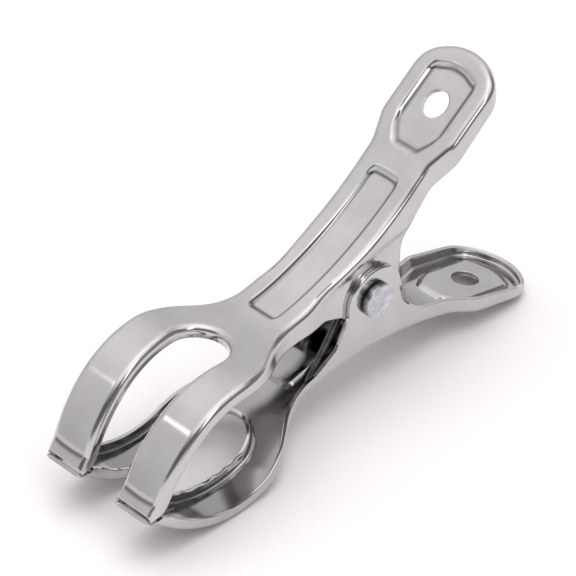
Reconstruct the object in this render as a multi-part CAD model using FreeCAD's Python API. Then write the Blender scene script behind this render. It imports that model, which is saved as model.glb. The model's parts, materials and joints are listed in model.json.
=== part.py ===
import FreeCAD, Part
import math
import os

from FreeCAD import Vector

# Spring clip for bags: two pressed sheet-steel arms on one rivet, held shut by a torsion spring.
# Lengths are in millimetres and angles in degrees. The clip is drawn in its own frame first: the
# pivot is the origin, +X runs to the finger pads, Y is the hinge axis and Z = 0 is the plane
# between the closed jaws. The finished pieces are then tilted to rest on a table.

# Sheet
SHEET = 0.9
BEND = 1.6                  # outside radius where the web turns down into a flange

# Length along the clip
TIP_REACH = 74.6            # pivot to the tips of the upper jaw
LOWER_LIP_EXTRA = 0.7       # the lower lip runs this much further
PAD_REACH = 45.8            # pivot to the end of the finger pads
MOUTH_GAP = 0.1             # left between the closed lips

# Side view of the upper web, walked from the tip as straight runs and tangent bends
LIP_RISE = 42.0             # slope of the lip
LIP_LENGTH = 2.9
CREASE_RADIUS, CREASE_TURN = 1.5, 12.0
CROWN_RADIUS, CROWN_TURN = 36.2, 25.0
SHOULDER_RADIUS, SHOULDER_TURN = 24.3, 47.4
SHOULDER_RUN = 8.0
WAIST_RADIUS, WAIST_TURN = 43.3, 23.1
BACK_RADIUS, BACK_TURN = 82.0, 23.3
HANDLE_RADIUS, HANDLE_TURN = 390.0, 4.9

# Plan view, half widths to the outside of the sheet
TIP_HALF = 16.1
JAW_HALF = 17.1
JAW_TAPER = 17.0            # length over which the jaw widens from the tip
JAW_STRAIGHT = 12.0
NECK_LENGTH, NECK_RADIUS = 24.0, 18.5
CHANNEL_HALF = 8.5
FLARE_START = 19.5          # where the channel starts to widen into the pad
FLARE_LENGTH, FLARE_RADIUS = 8.4, 6.0
PAD_HALF = 10.9
PAD_CORNER, PAD_CROWN = 6.5, 14.0

# Slot between the two prongs
SLOT_TIP_HALF = 4.9
SLOT_END_RADIUS = 6.8
SLOT_LENGTH = 31.6          # tips to the centre of its round end

# Flanges, square to the web, and their deeper stretches as drops below the outside of the web
JAW_FLANGE = 2.9
UPPER_JAW_DROPS = ((-46.0, 1.0), (-31.5, 4.6), (-24.0, 5.4), (-14.0, 7.2))
UPPER_HANDLE_DROPS = ((10.3, 10.5), (14.5, 6.7), (20.0, 5.7), (40.0, 4.6), (50.0, 1.0))
LOWER_JAW_DROPS = ((-26.0, 1.0), (-17.0, 3.9), (-12.6, 6.0))
LOWER_HANDLE_DROPS = ((7.9, 9.2), (12.0, 5.3), (24.0, 4.8), (40.0, 3.5), (50.0, 1.0))
FLANGE_CORNER = 2.2         # rounding of the flange edge
UPPER_EAR_RADIUS = 8.4
LOWER_EAR_RADIUS = 7.9

# The upper arm's ears are pressed in, to lie inside the lower arm's
EAR_GAP = 0.1               # between an inner and an outer ear
PINCH_REACH = 12.5          # half the length of the pressed-in patch
PINCH_MARGIN = 0.7          # its full depth runs this far past the top of the outer ears
PINCH_SLOPE = 1.6           # run of its sides for each unit of depth

# Sunk panels
CHANNEL_PANEL_DEPTH = 0.8
CHANNEL_PANEL_START, CHANNEL_PANEL_END = -24.6, 16.0
CHANNEL_PANEL_HALF = 4.6
CHANNEL_PANEL_CORNER = 1.6
PAD_PANEL_DEPTH = 1.5
PAD_PANEL_START, PAD_PANEL_KNEE, PAD_PANEL_END = 21.2, 26.4, 40.6
PAD_PANEL_NECK_HALF, PAD_PANEL_HALF = 3.6, 6.7
PAD_PANEL_CORNER = 1.5

# Hanging hole through each pad
HANG_HOLE_AT = 32.2
HANG_HOLE_RADIUS = 3.05

# Pivot rivet and torsion spring
SHANK_RADIUS = 2.2
SHANK_GAP = 0.05            # running clearance in the inner ears
HEAD_RADIUS = 4.5
HEAD_FACE_RADIUS = 4.05
HEAD_HEIGHT = 2.2
HEAD_EDGE = 0.4
WIRE_RADIUS = 0.8
COIL_SHANK_GAP = 0.6        # between the coil and the shank
COIL_TURN_GAP = 0.1         # between one turn and the next
LEG_SIDE_GAP = 0.5          # kept clear between a leg and the nearest flange
LEG_REACH = 15.0            # where the legs press on the arms
LEG_GAP = 0.1               # between a leg and the sheet it presses on

# Drawing limits, well outside the clip
SPAN = 40.0
RUN_ON = 8.0


def run(length):
    """A straight stretch of an outline."""
    return length, 0.0


def advance(state, size, turn):
    """The place and heading after a straight run (turn 0) or a tangent bend of radius size."""
    x, y, heading = state
    if turn == 0.0:
        return x + size * math.cos(heading), y + size * math.sin(heading), heading
    side = math.copysign(size, turn)
    x -= side * math.sin(heading)
    y += side * math.cos(heading)
    heading += math.radians(turn)
    return x + side * math.sin(heading), y - side * math.cos(heading), heading


def part_way(state, move, share):
    """The place and heading after a share of one run or bend."""
    size, turn = move
    if turn == 0.0:
        return advance(state, size * share, 0.0)
    return advance(state, size, turn * share)


def trail(start, heading, moves):
    """Walk an outline: one (state, move) pair for each run or bend."""
    state = (start[0], start[1], math.radians(heading))
    steps = []
    for move in moves:
        steps.append((state, move))
        state = part_way(state, move, 1.0)
    return steps


def beside(state, inset, lift):
    """The point at a distance to the right of an outline, lifted to space."""
    x, y, heading = state
    return lift(x + inset * math.sin(heading), y - inset * math.cos(heading))


def edges(steps, inset, lift):
    """The edges of an outline moved to its right by inset."""
    made = []
    for state, move in steps:
        first = beside(state, inset, lift)
        last = beside(part_way(state, move, 1.0), inset, lift)
        if move[1] == 0.0:
            made.append(Part.LineSegment(first, last).toShape())
        else:
            middle = beside(part_way(state, move, 0.5), inset, lift)
            made.append(Part.Arc(first, middle, last).toShape())
    return made


def side_view(x, z):
    return Vector(x, 0, z)


def plan_view(x, y):
    return Vector(x, y, 0)


def plan_mirror(x, y):
    return Vector(x, -y, 0)


def web_trail():
    """The outside of the upper web in side view, run on past both ends."""
    rise = math.radians(LIP_RISE)
    start = (-TIP_REACH - RUN_ON * math.cos(rise),
             MOUTH_GAP / 2 + SHEET / math.cos(rise) - RUN_ON * math.sin(rise))
    return trail(start, LIP_RISE, (
        run(LIP_LENGTH + RUN_ON), (CREASE_RADIUS, CREASE_TURN), (CROWN_RADIUS, -CROWN_TURN),
        (SHOULDER_RADIUS, -SHOULDER_TURN), run(SHOULDER_RUN), (WAIST_RADIUS, WAIST_TURN),
        (BACK_RADIUS, BACK_TURN), (HANDLE_RADIUS, -HANDLE_TURN), run(PAD_REACH + RUN_ON)))


def web_state(x):
    """The place and heading on the outside of the web at a distance along the clip."""
    for state, move in WEB:
        if part_way(state, move, 1.0)[0] >= x:
            low, high = 0.0, 1.0
            for _ in range(50):
                share = (low + high) / 2
                if part_way(state, move, share)[0] < x:
                    low = share
                else:
                    high = share
            return part_way(state, move, low)
    raise ValueError("that place is past the end of the web")


def side_face(outline):
    return Part.Face(Part.Wire(Part.__sortEdges__(outline)))


def line(first, last):
    return Part.LineSegment(first, last).toShape()


def across(face):
    """Extrude a side-view face across the clip."""
    face = face.copy()
    face.translate(Vector(0, -SPAN, 0))
    return face.extrude(Vector(0, 2 * SPAN, 0))


def upright(face):
    """Extrude a plan-view face through the height of the clip."""
    face = face.copy()
    face.translate(Vector(0, 0, -SPAN))
    return face.extrude(Vector(0, 0, 3 * SPAN))


def band(outer, inner):
    """The layer between two depths below the outside of the web, across the clip."""
    top, bottom = edges(WEB, outer, side_view), edges(WEB, inner, side_view)
    ends = [line(top[0].Vertexes[0].Point, bottom[0].Vertexes[0].Point),
            line(top[-1].Vertexes[-1].Point, bottom[-1].Vertexes[-1].Point)]
    return across(side_face(top + bottom + ends))


def below(depth):
    """Everything under a depth below the outside of the web."""
    top = edges(WEB, depth, side_view)
    first, last = top[0].Vertexes[0].Point, top[-1].Vertexes[-1].Point
    left, right = Vector(first.x, 0, -SPAN), Vector(last.x, 0, -SPAN)
    return across(side_face(top + [line(first, left), line(left, right), line(right, last)]))


def dropped(places):
    """Side-view points at a drop below the outside of the web."""
    return [Vector(x, 0, web_state(x)[1] - drop) for x, drop in places]


def rounded_run(points, radius):
    """An open outline through corner points, each corner rounded."""
    made, start = [], points[0]
    for before, corner, after in zip(points, points[1:], points[2:]):
        into, away, middle = corner_arc(before, corner, after, radius)
        made += [line(start, into), Part.Arc(into, middle, away).toShape()]
        start = away
    return made + [line(start, points[-1])]


def corner_arc(before, corner, after, radius):
    """The start, end and middle of the arc that rounds a corner."""
    to_before, to_after = (before - corner).normalize(), (after - corner).normalize()
    half = to_before.getAngle(to_after) / 2
    reach = radius / math.tan(half)
    middle = corner + (to_before + to_after).normalize() * (radius / math.sin(half) - radius)
    return corner + to_before * reach, corner + to_after * reach, middle


def flange_region(jaw_drops, handle_drops, ear_radius):
    """The side view of one arm: under the web, down to the flange edge and round the ear."""
    ear = (Vector(-ear_radius, 0, 0), Vector(ear_radius, 0, 0))
    low = rounded_run([*dropped(jaw_drops), *ear, *dropped(handle_drops)], FLANGE_CORNER)
    first, last = low[0].Vertexes[0].Point, low[-1].Vertexes[-1].Point
    left, right = Vector(first.x, 0, 2 * SPAN), Vector(last.x, 0, 2 * SPAN)
    deep = across(side_face([*low, line(first, left), line(left, right), line(right, last)]))
    deep = deep.common(below(0.0))
    lobe = Part.makeCylinder(ear_radius, 2 * SPAN, Vector(0, -SPAN, 0), Vector(0, 1, 0))
    return deep.fuse([band(0.0, JAW_FLANGE), lobe])


def sway(length, shift, radius):
    """Moves that step an outline sideways over a length: a bend, a straight and a bend back."""
    step = abs(shift)
    radius = min(radius, (length ** 2 + step ** 2) / (4 * step))
    reach = math.hypot(length, 2 * radius - step)
    lean = math.asin(min(1.0, 2 * radius / reach)) - math.atan2(2 * radius - step, length)
    turn = math.copysign(math.degrees(lean), shift)
    straight = math.sqrt(max(0.0, reach ** 2 - 4 * radius ** 2))
    middle = [run(straight)] if straight > 0.01 else []
    return [(radius, turn), *middle, (radius, -turn)]


def plan_trail():
    """Half the outside of an arm in plan, from beyond the tip to the end of the pad."""
    widening = JAW_HALF - TIP_HALF
    taper_radius = (JAW_TAPER ** 2 + widening ** 2) / (2 * widening)
    taper = math.asin(JAW_TAPER / taper_radius)
    start = (-TIP_REACH - RUN_ON, TIP_HALF - RUN_ON * math.tan(taper))
    channel = TIP_REACH - JAW_TAPER - JAW_STRAIGHT - NECK_LENGTH + FLARE_START
    crown = math.asin((PAD_HALF - PAD_CORNER) / (PAD_CROWN - PAD_CORNER))
    pad = (PAD_REACH - PAD_CROWN + (PAD_CROWN - PAD_CORNER) * math.cos(crown)
           - FLARE_START - FLARE_LENGTH)
    return trail(start, math.degrees(taper), (
        run(RUN_ON / math.cos(taper)), (taper_radius, -math.degrees(taper)), run(JAW_STRAIGHT),
        *sway(NECK_LENGTH, CHANNEL_HALF - JAW_HALF, NECK_RADIUS), run(channel),
        *sway(FLARE_LENGTH, PAD_HALF - CHANNEL_HALF, FLARE_RADIUS), run(pad),
        (PAD_CORNER, math.degrees(crown) - 90), (PAD_CROWN, -math.degrees(crown))))


def slot_trail():
    """Half the slot in plan, from beyond the tip to its round end."""
    spread = math.asin((SLOT_END_RADIUS - SLOT_TIP_HALF)
                       / math.hypot(SLOT_LENGTH, SLOT_TIP_HALF))
    touch_x = SLOT_LENGTH - TIP_REACH - SLOT_END_RADIUS * math.sin(spread)
    touch_y = SLOT_END_RADIUS * math.cos(spread)
    start_x = -TIP_REACH - 2 * RUN_ON
    start = (start_x, touch_y - (touch_x - start_x) * math.tan(spread))
    return trail(start, math.degrees(spread), (
        run((touch_x - start_x) / math.cos(spread)),
        (SLOT_END_RADIUS, -90 - math.degrees(spread))))


def plan_region(steps, inset):
    """The plan between an outline and its mirror image."""
    near, far = edges(steps, inset, plan_view), edges(steps, inset, plan_mirror)
    closing = line(near[0].Vertexes[0].Point, far[0].Vertexes[0].Point)
    return Part.Face(Part.Wire(Part.__sortEdges__([*near, *far, closing])))


def rounded(points, radius):
    """A closed plan outline through corner points, each corner rounded."""
    made, starts, ends = [], [], []
    for index, corner in enumerate(points):
        into, away, middle = corner_arc(points[index - 1], corner, points[index + 1 - len(points)],
                                        radius)
        starts.append(into)
        ends.append(away)
        made.append(Part.Arc(into, middle, away).toShape())
    made += [line(ends[index - 1], starts[index]) for index in range(len(points))]
    return Part.Face(Part.Wire(Part.__sortEdges__(made)))


def mirrored_corners(half):
    """Corner points of an outline from the half with positive Y."""
    return ([Vector(x, y, 0) for x, y in half]
            + [Vector(x, -y, 0) for x, y in reversed(half)])


def channel_panel(grow):
    """The plan of the sunk panel in the channel, grown all round."""
    corners = mirrored_corners((
        (CHANNEL_PANEL_START - grow, CHANNEL_PANEL_HALF + grow),
        (CHANNEL_PANEL_END + grow, CHANNEL_PANEL_HALF + grow)))
    return rounded(corners, CHANNEL_PANEL_CORNER + grow)


def pad_panel(grow):
    """The plan of the sunk panel in the finger pad, grown all round."""
    corners = mirrored_corners((
        (PAD_PANEL_START - grow, PAD_PANEL_NECK_HALF + grow),
        (PAD_PANEL_KNEE - grow, PAD_PANEL_HALF + grow),
        (PAD_PANEL_END + grow, PAD_PANEL_HALF + grow)))
    return rounded(corners, PAD_PANEL_CORNER + grow)


def pinch(skin):
    """The tapered patch pressed into both flanges round the ears, shifted in by skin."""
    depth = SHEET + EAR_GAP
    full_top = LOWER_EAR_RADIUS + PINCH_MARGIN + depth * PINCH_SLOPE
    grow = skin * math.tan(math.atan(1 / PINCH_SLOPE) / 2)
    patches = []
    for side in (-1, 1):
        outlines = []
        for sunk in (-SHEET / 2, depth):
            reach = PINCH_REACH + grow - sunk * PINCH_SLOPE
            top = full_top + grow - sunk * PINCH_SLOPE
            y = side * (CHANNEL_HALF - skin - sunk)
            outlines.append(Part.makePolygon([Vector(x, y, z) for x, z in (
                (-reach, -SPAN), (-reach, top), (reach, top), (reach, -SPAN), (-reach, -SPAN))]))
        patches.append(Part.makeLoft(outlines, True, True))
    return patches[0].fuse(patches[1])


def rim_edges(shape, depth):
    """The edges between the web surface at a depth and the walls under it."""
    found = []
    for edge in shape.Edges:
        middle = edge.valueAt((edge.FirstParameter + edge.LastParameter) / 2)
        x, z, heading = web_state(middle.x)
        off = (middle.z - z) * math.cos(heading) + depth
        if abs(off) < 0.02 and not is_crossing(edge):
            found.append(edge)
    return found


def is_crossing(edge):
    """Whether an edge runs straight across the web, as its joints and ends do."""
    ends = [vertex.Point for vertex in edge.Vertexes]
    return len(ends) == 2 and abs(ends[0].x - ends[1].x) < 1e-4 and abs(ends[0].z - ends[1].z) < 1e-4


def hang_hole():
    """A cutter square to the pad at the hanging hole."""
    x, z, heading = web_state(HANG_HOLE_AT)
    along = Vector(-math.sin(heading), 0, math.cos(heading))
    centre = Vector(x, 0, z)
    return Part.makeCylinder(HANG_HOLE_RADIUS, 4 * BEND, centre - along * 2 * BEND, along)


def arm(lip_extra, region):
    """One arm, in the upper arm's place: web, flanges, slot, panels, hole and ears."""
    outline, slot = plan_trail(), slot_trail()
    block = region.common(upright(plan_region(outline, 0.0))).cut(upright(plan_region(slot, 0.0)))
    block = block.makeFillet(BEND, rim_edges(block, 0.0))
    hollow = upright(plan_region(outline, SHEET)).cut(upright(plan_region(slot, -SHEET)))
    hollow = hollow.common(below(SHEET))
    hollow = hollow.makeFillet(BEND - SHEET, rim_edges(hollow, SHEET))
    ahead = Part.makeBox(SPAN, 2 * SPAN, 3 * SPAN,
                         Vector(-TIP_REACH - lip_extra - SPAN, -SPAN, -SPAN))
    mouth = Part.makeBox(2 * SPAN, 2 * SPAN, SPAN,
                         Vector(SLOT_LENGTH - TIP_REACH - 2 * SPAN, -SPAN, MOUTH_GAP / 2 - SPAN))
    shell = block.cut([hollow, ahead, mouth])
    for plan, depth in ((channel_panel, CHANNEL_PANEL_DEPTH), (pad_panel, PAD_PANEL_DEPTH)):
        shell = shell.fuse(upright(plan(SHEET)).common(band(SHEET / 2, SHEET + depth)))
        shell = shell.cut(upright(plan(0.0)).common(band(-1.0, depth)))
    return shell.cut(hang_hole())


def ear_bore(radius):
    return Part.makeCylinder(radius, 2 * SPAN, Vector(0, -SPAN, 0), Vector(0, 1, 0))


def upper_arm():
    """The arm whose ears are pressed in and turn on the rivet."""
    region = flange_region(UPPER_JAW_DROPS, UPPER_HANDLE_DROPS, UPPER_EAR_RADIUS)
    shell = arm(0.0, region).fuse(pinch(SHEET).common(region))
    return shell.cut([pinch(0.0), ear_bore(SHANK_RADIUS + SHANK_GAP)])


def lower_arm():
    """The arm that holds the rivet in its outer ears, and has the longer lip."""
    region = flange_region(LOWER_JAW_DROPS, LOWER_HANDLE_DROPS, LOWER_EAR_RADIUS)
    shell = arm(LOWER_LIP_EXTRA, region).cut(ear_bore(SHANK_RADIUS))
    return shell.mirror(Vector(0, 0, 0), Vector(0, 0, 1))


def pivot_rivet():
    """The shank through all four ears, with a tapered head on the outside of each outer ear."""
    shank = Part.makeCylinder(SHANK_RADIUS, 2 * CHANNEL_HALF, Vector(0, -CHANNEL_HALF, 0),
                              Vector(0, 1, 0))
    heads = []
    for side in (-1, 1):
        head = Part.makeCone(HEAD_RADIUS, HEAD_FACE_RADIUS, HEAD_HEIGHT,
                             Vector(0, side * CHANNEL_HALF, 0), Vector(0, side, 0))
        rim = [edge for edge in head.Edges if is_round_face_edge(edge)]
        heads.append(head.makeFillet(HEAD_EDGE, rim))
    return shank.fuse(heads)


def is_round_face_edge(edge):
    """Whether an edge is the circle round the outer face of a rivet head."""
    box = edge.BoundBox
    return box.YLength < 0.01 and abs(box.Center.y) > CHANNEL_HALF + HEAD_HEIGHT / 2


def leg_end():
    """The middle of the wire where the upper leg presses on the inside of the channel panel."""
    x, z, heading = web_state(LEG_REACH)
    depth = SHEET + CHANNEL_PANEL_DEPTH + LEG_GAP + WIRE_RADIUS
    return x + depth * math.sin(heading), z - depth * math.cos(heading)


def torsion_spring():
    """A coil round the rivet, whose wire runs on into a straight leg along each handle."""
    radius = SHANK_RADIUS + COIL_SHANK_GAP + WIRE_RADIUS
    pitch = 2 * WIRE_RADIUS + COIL_TURN_GAP
    climb = pitch / (2 * math.pi * radius)
    end_x, end_z = leg_end()
    reach = math.hypot(end_x, end_z)
    leg = math.sqrt(reach ** 2 - radius ** 2)
    touch = math.atan2(end_z, end_x) + math.acos(radius / reach)
    part_turn = 1 - touch / math.pi
    room = 2 * (CHANNEL_HALF - SHEET - LEG_SIDE_GAP - WIRE_RADIUS - leg * climb)
    turns = math.floor(room / pitch - part_turn) + part_turn
    height = turns * pitch
    helix = Part.makeHelix(pitch, height, radius)
    start = Vector(radius, 0, 0)
    end = Vector(radius * math.cos(2 * touch), -radius * math.sin(2 * touch), height)
    into, away = Vector(0, 1, climb), Vector(math.sin(2 * touch), math.cos(2 * touch), climb)
    path = Part.Wire([line(start - into * leg, start), *helix.Edges, line(end, end + away * leg)])
    ring = Part.Wire(Part.makeCircle(WIRE_RADIUS, start - into * leg, into))
    spring = path.makePipeShell([ring], True, True)
    spring.rotate(Vector(0, 0, 0), Vector(0, 0, 1), math.degrees(touch))
    spring.rotate(Vector(0, 0, 0), Vector(1, 0, 0), -90)
    spring.translate(Vector(0, -height / 2, 0))
    return spring


def resting_pose():
    """The tilt, in radians, and lift that lay the lower arm's crown and pad end on a table."""
    turned = [state for state, move in WEB if move == (SHOULDER_RADIUS, -SHOULDER_TURN)][0]
    crown = beside(turned, SHOULDER_RADIUS, side_view)
    x, z, heading = web_state(PAD_REACH - BEND)
    pad_end = Vector(x, 0, z - BEND / math.cos(heading))
    apart = pad_end - crown
    tilt = math.atan2(apart.z, apart.x) - math.asin((SHOULDER_RADIUS - BEND) / apart.Length)
    return tilt, crown.z * math.cos(tilt) - crown.x * math.sin(tilt) + SHOULDER_RADIUS


def build():
    """All pieces in the row frame: at rest on Z = 0, centred over the origin."""
    pieces = {"upper_arm": upper_arm(), "lower_arm": lower_arm(),
              "pivot_rivet": pivot_rivet(), "torsion_spring": torsion_spring()}
    tilt, lift = resting_pose()
    for shape in pieces.values():
        shape.rotate(Vector(0, 0, 0), Vector(0, 1, 0), -math.degrees(tilt))
        shape.translate(Vector(0, 0, lift))
    box = Part.makeCompound(list(pieces.values())).optimalBoundingBox()
    for shape in pieces.values():
        shape.translate(Vector(-box.Center.x, 0, 0))
    return pieces


WEB = web_trail()

os.makedirs("parts", exist_ok=True)
for name, shape in build().items():
    shape.exportStep(f"parts/{name}.step")
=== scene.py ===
"""Looks of a sprung bag clip: two pressed stainless arms, a headed rivet and a torsion spring.

Every size is in millimetres in the clip's own frame: the pivot is the origin, +X runs to the
finger pads, Y is the hinge axis and Z = 0 is the plane between the closed jaws. Finished meshes
are turned into the row frame of the construction model, in metres.
"""

import json
import logging
import math
from dataclasses import dataclass
from enum import Enum

import bmesh
import bpy
import numpy as np
from mathutils import Matrix, Vector

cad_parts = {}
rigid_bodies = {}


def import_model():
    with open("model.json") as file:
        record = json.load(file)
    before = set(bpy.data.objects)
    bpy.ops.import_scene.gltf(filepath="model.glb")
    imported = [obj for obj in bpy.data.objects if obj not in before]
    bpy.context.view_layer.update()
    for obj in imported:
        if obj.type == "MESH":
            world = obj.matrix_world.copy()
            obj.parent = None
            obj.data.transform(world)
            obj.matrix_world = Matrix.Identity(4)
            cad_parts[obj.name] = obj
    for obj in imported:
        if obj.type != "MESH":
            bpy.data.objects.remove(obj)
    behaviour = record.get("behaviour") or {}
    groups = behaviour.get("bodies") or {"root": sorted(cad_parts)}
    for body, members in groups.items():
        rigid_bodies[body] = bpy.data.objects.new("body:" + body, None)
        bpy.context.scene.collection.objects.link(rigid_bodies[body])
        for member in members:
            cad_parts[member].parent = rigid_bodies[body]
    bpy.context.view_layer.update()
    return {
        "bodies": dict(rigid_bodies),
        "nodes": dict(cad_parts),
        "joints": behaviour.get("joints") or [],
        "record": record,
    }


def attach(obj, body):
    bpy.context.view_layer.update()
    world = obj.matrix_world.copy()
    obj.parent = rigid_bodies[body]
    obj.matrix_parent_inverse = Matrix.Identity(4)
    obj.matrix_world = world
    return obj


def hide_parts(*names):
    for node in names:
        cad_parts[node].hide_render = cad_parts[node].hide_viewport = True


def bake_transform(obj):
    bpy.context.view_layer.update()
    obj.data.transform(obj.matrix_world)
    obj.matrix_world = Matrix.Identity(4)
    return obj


LOG = logging.getLogger("bag_clip")
MM = 0.001
WELD_M = 2e-6
NEAR_MIDDLE = 1e-4
WALK_POINTS = 8000
# The vertex attribute that holds painted shade, from 0 to 1: it darkens a finish towards its inside
# colour.
PAINTED_SHADE = "painted_shade"
Setting = float | str | bool | tuple[float, ...]
Pairs = tuple[tuple[float, float], ...]


class Side(Enum):
    """The two arms, by where they lie about the plane between the jaws."""

    UPPER = 1
    LOWER = -1


# -- colour and nodes


def linear(code: str) -> tuple[float, float, float, float]:
    """Turn an sRGB colour into the linear one that shaders take.

    Args:
        code: six hex digits, with or without a leading hash.

    Returns:
        Red, green, blue and an alpha of 1.
    """
    digits = code.lstrip("#")
    parts = [int(digits[i:i + 2], 16) / 255 for i in (0, 2, 4)]
    low = [c / 12.92 if c <= 0.04045 else ((c + 0.055) / 1.055) ** 2.4 for c in parts]
    return low[0], low[1], low[2], 1.0


def add_node(tree: bpy.types.NodeTree, kind: str, settings: dict[str, Setting] | None = None,
             links: dict[str, bpy.types.NodeSocket] | None = None) -> bpy.types.Node:
    """Add one node with its settings and incoming links.

    Args:
        tree: the node tree to add to.
        kind: the node's type name.
        settings: values by property name, or by socket name or index where no property has it.
        links: sockets that feed this node, by the name or index of its own socket.

    Returns:
        The new node.
    """
    node = tree.nodes.new(kind)
    for name, value in (settings or {}).items():
        if hasattr(node, name):
            setattr(node, name, value)
        else:
            node.inputs[int(name) if name.isdigit() else name].default_value = value
    for name, source in (links or {}).items():
        tree.links.new(source, node.inputs[int(name) if name.isdigit() else name])
    return node


# -- finishes


@dataclass(frozen=True)
class BrightSteel:
    """A bare steel surface: how light it is, how sharp its reflections are and how it ripples.

    The Object coordinates are in metres, so a noise of scale s has features about 1/s m across.
    """

    name: str
    light: str
    shade: str
    # The colour of painted shade, mixed in by the vertex attribute.
    inside: str
    smooth: float
    rough: float
    blotch_mm: float
    ripple_mm: float
    ripple_height_mm: float
    grain_mm: float
    grain_height_mm: float

    def make(self) -> bpy.types.Material:
        """Build the node material.

        Returns:
            A metallic material whose colour, roughness and bump come from noise, and whose colour
            is darkened towards the inside colour by painted shade from a vertex attribute.
        """
        material = bpy.data.materials.new(self.name)
        material.use_nodes = True
        tree = material.node_tree
        tree.nodes.clear()
        place = {"Vector": add_node(tree, "ShaderNodeTexCoord").outputs["Object"]}
        blotch = add_node(tree, "ShaderNodeTexNoise", {
            "Scale": 1 / (self.blotch_mm * MM), "Detail": 5.0, "Roughness": 0.6}, place)
        spread = add_node(tree, "ShaderNodeMapRange", {"From Min": 0.38, "From Max": 0.62},
                          {"Value": blotch.outputs["Fac"]})
        tint = add_node(tree, "ShaderNodeMix",
                        {"data_type": "RGBA", "6": linear(self.shade), "7": linear(self.light)},
                        {"Factor": spread.outputs["Result"]})
        # Painted shade: the vertex attribute pulls the colour towards the inside colour.
        reach = add_node(tree, "ShaderNodeAttribute", {"attribute_name": PAINTED_SHADE})
        colour = add_node(tree, "ShaderNodeMix", {"data_type": "RGBA", "7": linear(self.inside)},
                          {"Factor": reach.outputs["Fac"], "6": tint.outputs[2]})
        dull = add_node(tree, "ShaderNodeMapRange", {
            "From Min": 0.3, "From Max": 0.7, "To Min": self.smooth, "To Max": self.rough},
            {"Value": blotch.outputs["Fac"]})
        ripple = add_node(tree, "ShaderNodeTexNoise", {
            "Scale": 1 / (self.ripple_mm * MM), "Detail": 1.0, "Roughness": 0.4}, place)
        waves = add_node(tree, "ShaderNodeBump", {
            "Distance": self.ripple_height_mm * MM, "Strength": 1.0},
            {"Height": ripple.outputs["Fac"]})
        grain = add_node(tree, "ShaderNodeTexNoise", {
            "Scale": 1 / (self.grain_mm * MM), "Detail": 3.0, "Roughness": 0.55}, place)
        fine = add_node(tree, "ShaderNodeBump", {
            "Distance": self.grain_height_mm * MM, "Strength": 1.0},
            {"Height": grain.outputs["Fac"], "Normal": waves.outputs["Normal"]})
        shader = add_node(tree, "ShaderNodeBsdfPrincipled", {"Metallic": 1.0},
                          {"Base Color": colour.outputs[2], "Roughness": dull.outputs["Result"],
                           "Normal": fine.outputs["Normal"]})
        add_node(tree, "ShaderNodeOutputMaterial", None, {"Surface": shader.outputs["BSDF"]})
        return material


# Cold-rolled stainless strip, pressed and barrel-polished: near-white metal with clear
# reflections that waver a little; inside the arms, in the lip's crease and at the panels'
# riser feet it is darkened as painted shade.
PRESSED_STAINLESS = BrightSteel(
    "tumbled_stainless_sheet", light="#C8C6C6", shade="#C1BEBF", inside="#4A4949", smooth=0.09,
    rough=0.16, blotch_mm=9.0, ripple_mm=14.0, ripple_height_mm=0.045, grain_mm=0.35,
    grain_height_mm=0.002)
# Cold-headed steel rivet: a little bluer and duller than the arms, with hammered blotches;
# its shank and the heads' sides are darkened as painted shade.
RIVET_STEEL = BrightSteel(
    "headed_rivet_steel", light="#D0D0D6", shade="#B4B4BC", inside="#2E2E33", smooth=0.22,
    rough=0.36, blotch_mm=2.2, ripple_mm=2.6, ripple_height_mm=0.10, grain_mm=0.4,
    grain_height_mm=0.008)
# Drawn spring wire with a fine drawn skin, coloured dark as painted shade, since it lies in the clip's
# shaded inside.
SPRING_WIRE = BrightSteel(
    "drawn_spring_wire", light="#77777A", shade="#5C5C60", inside="#5C5C60", smooth=0.28,
    rough=0.40, blotch_mm=3.0, ripple_mm=4.0, ripple_height_mm=0.02, grain_mm=0.25,
    grain_height_mm=0.006)


# -- curves and surfaces


def ease(share: np.ndarray) -> np.ndarray:
    """The smooth step 3t^2 - 2t^3 of a share held between 0 and 1."""
    held = np.clip(share, 0.0, 1.0)
    return held * held * (3.0 - 2.0 * held)


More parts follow.
